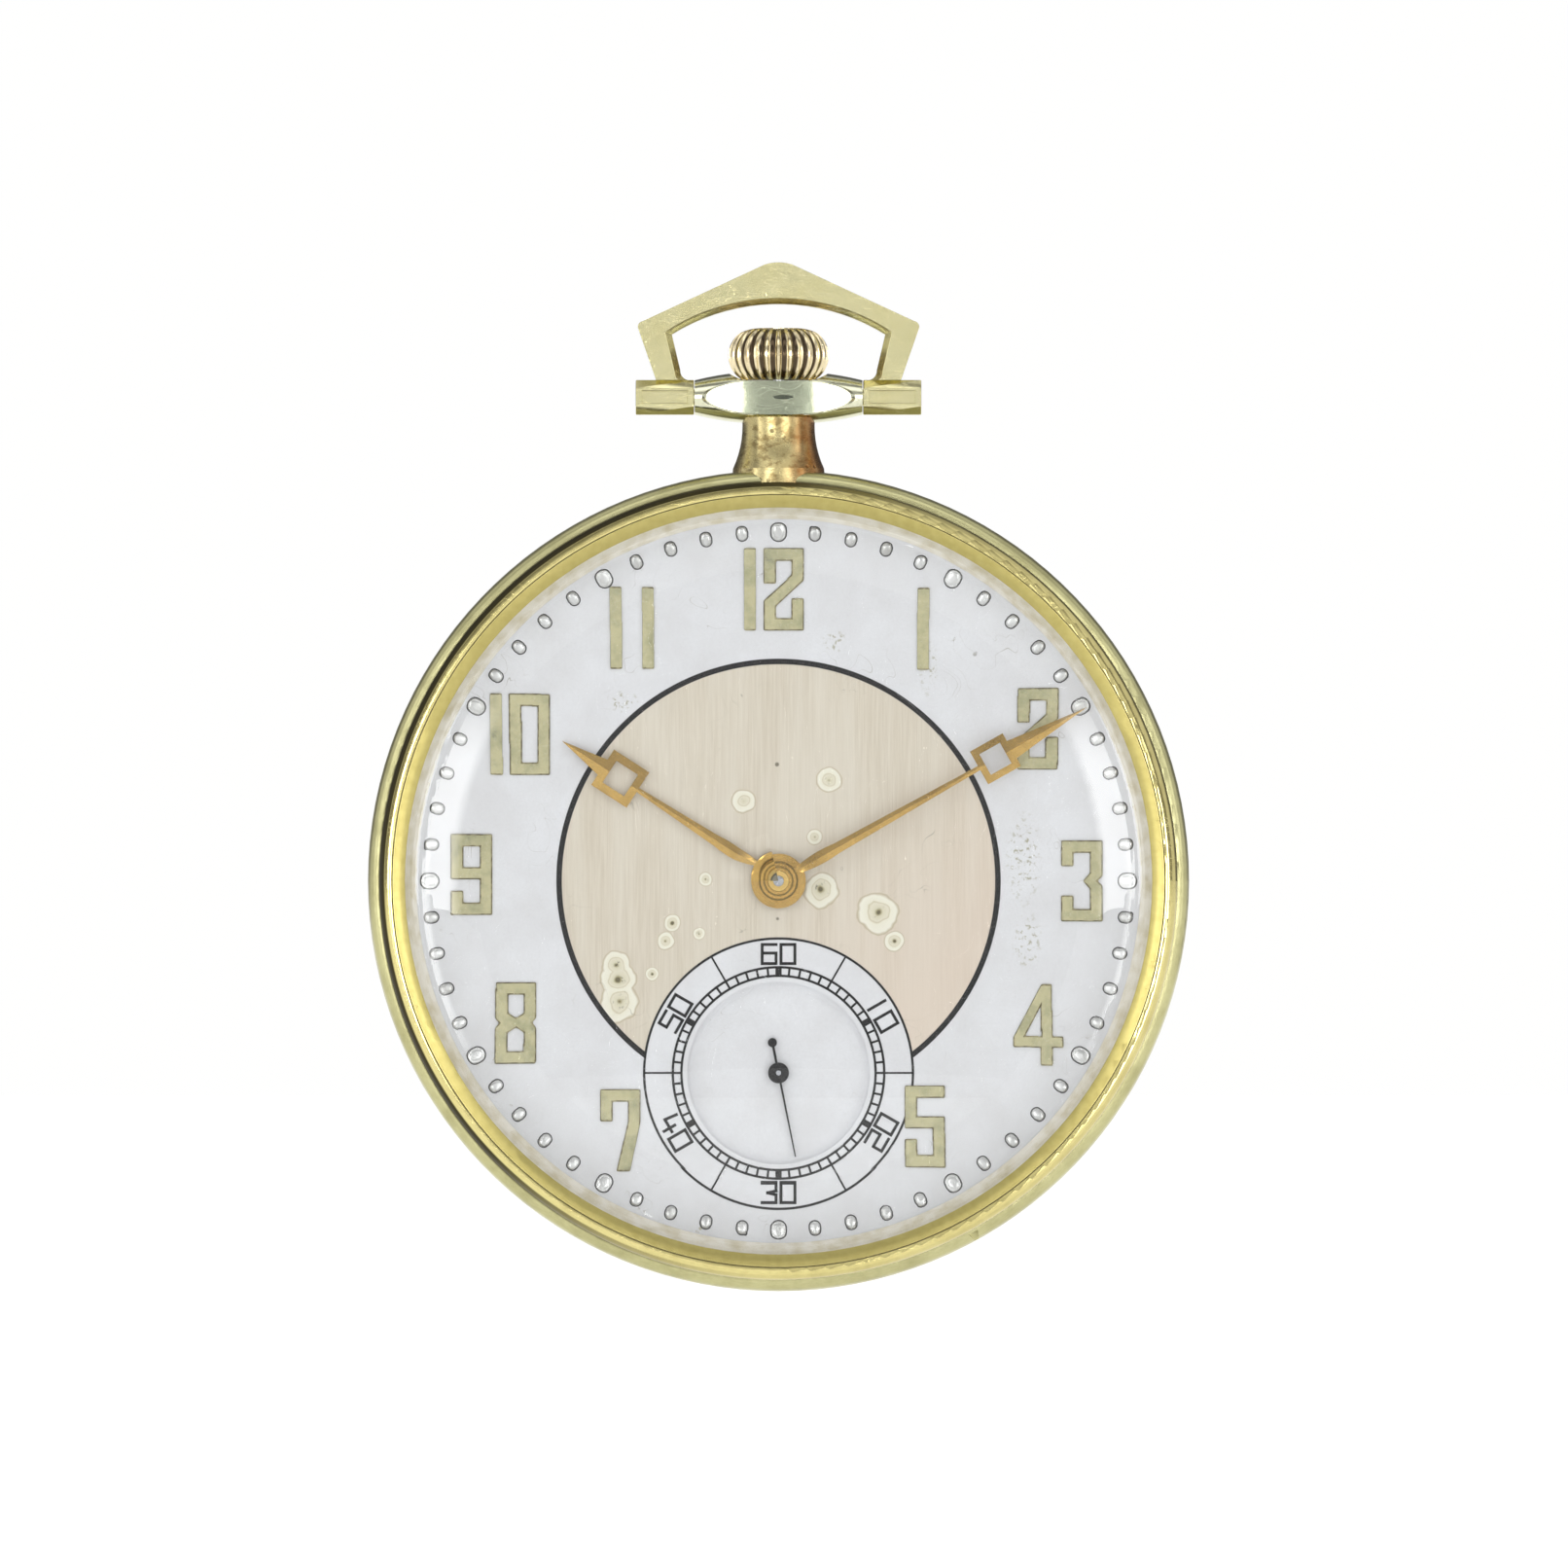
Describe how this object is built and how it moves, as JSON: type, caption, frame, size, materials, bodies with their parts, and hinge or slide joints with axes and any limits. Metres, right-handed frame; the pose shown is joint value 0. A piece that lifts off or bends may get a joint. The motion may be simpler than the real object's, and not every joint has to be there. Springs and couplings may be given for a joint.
{
  "type": "open face pocket watch",
  "caption": "Open face pocket watch with a pentagonal bow, fluted crown, applied angular numerals, open square hands, a sunk seconds dial and a full movement with going train.",
  "frame": {"origin": "centre of the flat case back, on the hands' axis", "axes": "+Z to twelve o'clock and the bow, -Y out of the dial, +X to three o'clock"},
  "size_m": [0.045, 0.0082, 0.0564],
  "materials": {
    "case_gold": "polished pale gold fill, lightly brushed",
    "pendant_gold": "worn pale gold fill with coppery tarnish",
    "crown_gold": "rose gold fill, dirt in the flutes",
    "hinge_metal": "satin",
    "crystal": "clear, bevelled edge",
    "rehaut": "pale satin",
    "dial_face": "silvered, beige brushed middle, spotted with age",
    "numeral_gold": "tarnished gold leaf",
    "stud_silver": "polished",
    "hand_gold": "faceted and polished",
    "black_steel": "blackened",
    "movement_plate": "gilt, grained",
    "bridge_nickel": "striped nickel",
    "wheel_brass": "satin gilt",
    "steel": "polished",
    "blued_steel": "blued",
    "ruby": "polished"
  },
  "bodies": {
    "case": {"case_band": "case_gold", "case_hinge_knuckles": "hinge_metal", "back_hinge_pin": "hinge_metal", "pendant_neck": "pendant_gold", "pendant_collar": "pendant_gold", "bow_pivots": "pendant_gold", "main_plate": "movement_plate", "barrel_bridge": "bridge_nickel", "train_bridge": "bridge_nickel", "balance_cock": "bridge_nickel", "pallet_bridge": "bridge_nickel", "train_jewels": "ruby", "bridge_screws": "blued_steel", "case_screws": "steel", "dial_plate": "dial_face", "seconds_dial": "dial_face", "hour_numerals": "numeral_gold", "minute_studs": "stud_silver", "click_spring": "steel", "mainspring": "steel", "hairspring": "blued_steel"},
    "bow": {"bow_frame": "pendant_gold", "bow_barrels": "pendant_gold"},
    "bezel_set": {"bezel": "case_gold", "crystal": "crystal", "rehaut_ring": "rehaut"},
    "back": {"back_cover": "case_gold", "back_hinge_knuckle": "hinge_metal"},
    "winding_pinion_body": {"winding_pinion": "steel"},
    "crown_and_stem": {"crown": "crown_gold", "winding_stem": "steel"},
    "clutch": {"clutch_wheel": "steel"},
    "setting_lever_body": {"setting_lever": "steel"},
    "yoke_body": {"yoke": "steel"},
    "crown_wheel_body": {"crown_wheel": "steel"},
    "ratchet_and_arbor": {"ratchet_wheel": "steel", "barrel_arbor": "steel"},
    "click_body": {"click": "steel"},
    "barrel": {"barrel_drum": "wheel_brass", "barrel_cover": "wheel_brass"},
    "centre": {"centre_wheel": "wheel_brass", "centre_arbor": "steel"},
    "third": {"third_wheel": "wheel_brass", "third_arbor": "steel"},
    "fourth": {"fourth_wheel": "wheel_brass", "fourth_arbor": "steel", "seconds_hand": "black_steel"},
    "escape": {"escape_wheel": "steel", "escape_arbor": "steel"},
    "pallet": {"pallet_fork": "steel"},
    "balance": {"balance_wheel": "wheel_brass", "balance_staff": "steel"},
    "regulator_body": {"regulator": "steel"},
    "cannon": {"cannon_pinion": "steel", "minute_hand": "hand_gold"},
    "hour": {"hour_wheel": "wheel_brass", "hour_hand": "hand_gold"},
    "minute_wheel_body": {"minute_wheel": "wheel_brass"},
    "intermediate": {"intermediate_wheel": "steel"},
    "setting_wheel_body": {"setting_wheel": "steel"}
  },
  "joints": [
    {"name": "bow_swing", "type": "hinge", "parent": "case", "child": "bow", "pos_m": [0, -0.0034, 0.0265], "axis": [1, 0, 0], "range_deg": [-110, 110]},
    {"name": "bezel_snap_off", "type": "slide", "parent": "case", "child": "bezel_set", "axis": [0, -1, 0], "range_m": [0, 0.01]},
    {"name": "back_open", "type": "hinge", "parent": "case", "child": "back", "pos_m": [-0.02183, -0.0016, 0], "axis": [0, 0, 1], "range_deg": [0, 100]},
    {"name": "crown_turn", "type": "hinge", "parent": "case", "child": "winding_pinion_body", "pos_m": [0, -0.0034, 0.0145], "axis": [0, 0, 1], "continuous": true},
    {"name": "crown_pull", "type": "slide", "parent": "winding_pinion_body", "child": "crown_and_stem", "axis": [0, 0, 1], "range_m": [0, 0.0009]},
    {"name": "crown_wheel_turn", "type": "hinge", "parent": "case", "child": "crown_wheel_body", "pos_m": [0, -0.00165, 0.01235], "axis": [0, -1, 0], "continuous": true},
    {"name": "ratchet_turn", "type": "hinge", "parent": "case", "child": "ratchet_and_arbor", "pos_m": [0.00471, -0.00165, 0.00603], "axis": [0, -1, 0], "continuous": true},
    {"name": "clutch_slide", "type": "slide", "parent": "winding_pinion_body", "child": "clutch", "axis": [0, 0, 1], "range_m": [-0.00085, 0]},
    {"name": "setting_lever_turn", "type": "hinge", "parent": "case", "child": "setting_lever_body", "pos_m": [0.0026, -0.00487, 0.0165], "axis": [0, -1, 0], "range_deg": [-25, 25]},
    {"name": "yoke_turn", "type": "hinge", "parent": "case", "child": "yoke_body", "pos_m": [-0.003, -0.00487, 0.01345], "axis": [0, -1, 0], "range_deg": [-25, 25]},
    {"name": "click_turn", "type": "hinge", "parent": "case", "child": "click_body", "pos_m": [0.00625, -0.00165, 0.01219], "axis": [0, -1, 0], "range_deg": [0, 6]},
    {"name": "seconds_turn", "type": "hinge", "parent": "case", "child": "fourth", "pos_m": [0, -0.004, -0.0105], "axis": [0, -1, 0], "continuous": true},
    {"name": "third_turn", "type": "hinge", "parent": "case", "child": "third", "pos_m": [0.00426, -0.003, -0.00635], "axis": [0, -1, 0], "continuous": true},
    {"name": "centre_turn", "type": "hinge", "parent": "case", "child": "centre", "pos_m": [0, -0.003, 0], "axis": [0, -1, 0], "continuous": true},
    {"name": "barrel_turn", "type": "hinge", "parent": "case", "child": "barrel", "pos_m": [0.00471, -0.0036, 0.00603], "axis": [0, -1, 0], "continuous": true},
    {"name": "escape_turn", "type": "hinge", "parent": "case", "child": "escape", "pos_m": [-0.0044, -0.0034, -0.0091], "axis": [0, -1, 0], "continuous": true},
    {"name": "pallet_rock", "type": "hinge", "parent": "case", "child": "pallet", "pos_m": [-0.00635, -0.00336, -0.00716], "axis": [0, -1, 0], "range_deg": [-3, 3]},
    {"name": "balance_swing", "type": "hinge", "parent": "case", "child": "balance", "pos_m": [-0.00928, -0.0028, -0.00422], "axis": [0, -1, 0], "range_deg": [-270, 270], "deforming": ["hairspring"]},
    {"name": "regulator_turn", "type": "hinge", "parent": "case", "child": "regulator_body", "pos_m": [-0.00928, -0.0012, -0.00422], "axis": [0, -1, 0], "range_deg": [-20, 20]},
    {"name": "minute_turn", "type": "hinge", "parent": "case", "child": "cannon", "pos_m": [0, -0.006, 0], "axis": [0, -1, 0], "continuous": true},
    {"name": "hour_turn", "type": "hinge", "parent": "case", "child": "hour", "pos_m": [0, -0.006, 0], "axis": [0, -1, 0], "continuous": true},
    {"name": "minute_wheel_turn", "type": "hinge", "parent": "case", "child": "minute_wheel_body", "pos_m": [0.0012, -0.0049, 0.00339], "axis": [0, -1, 0], "continuous": true},
    {"name": "intermediate_turn", "type": "hinge", "parent": "case", "child": "intermediate", "pos_m": [-0.00064, -0.0049, 0.00717], "axis": [0, -1, 0], "continuous": true},
    {"name": "setting_wheel_turn", "type": "hinge", "parent": "case", "child": "setting_wheel_body", "pos_m": [0, -0.0049, 0.0101], "axis": [0, -1, 0], "continuous": true}
  ],
  "couplings": [
    {"joint": "crown_wheel_turn", "follows": "crown_turn", "ratio": 0.5},
    {"joint": "ratchet_turn", "follows": "crown_turn", "ratio": -0.26531},
    {"joint": "clutch_slide", "follows": "crown_pull", "ratio": -0.94444},
    {"joint": "setting_lever_turn", "follows": "crown_pull", "rad_per_m": -384.62},
    {"joint": "yoke_turn", "follows": "crown_pull", "rad_per_m": -314.81},
    {"joint": "third_turn", "follows": "seconds_turn", "ratio": -0.13333},
    {"joint": "centre_turn", "follows": "seconds_turn", "ratio": 0.016667},
    {"joint": "barrel_turn", "follows": "seconds_turn", "ratio": -0.0025641},
    {"joint": "escape_turn", "follows": "seconds_turn", "ratio": -10},
    {"joint": "hour_turn", "follows": "minute_turn", "ratio": 0.083333},
    {"joint": "minute_wheel_turn", "follows": "minute_turn", "ratio": -0.33333},
    {"joint": "intermediate_turn", "follows": "minute_turn", "ratio": 0.6},
    {"joint": "setting_wheel_turn", "follows": "minute_turn", "ratio": -0.6}
  ]
}
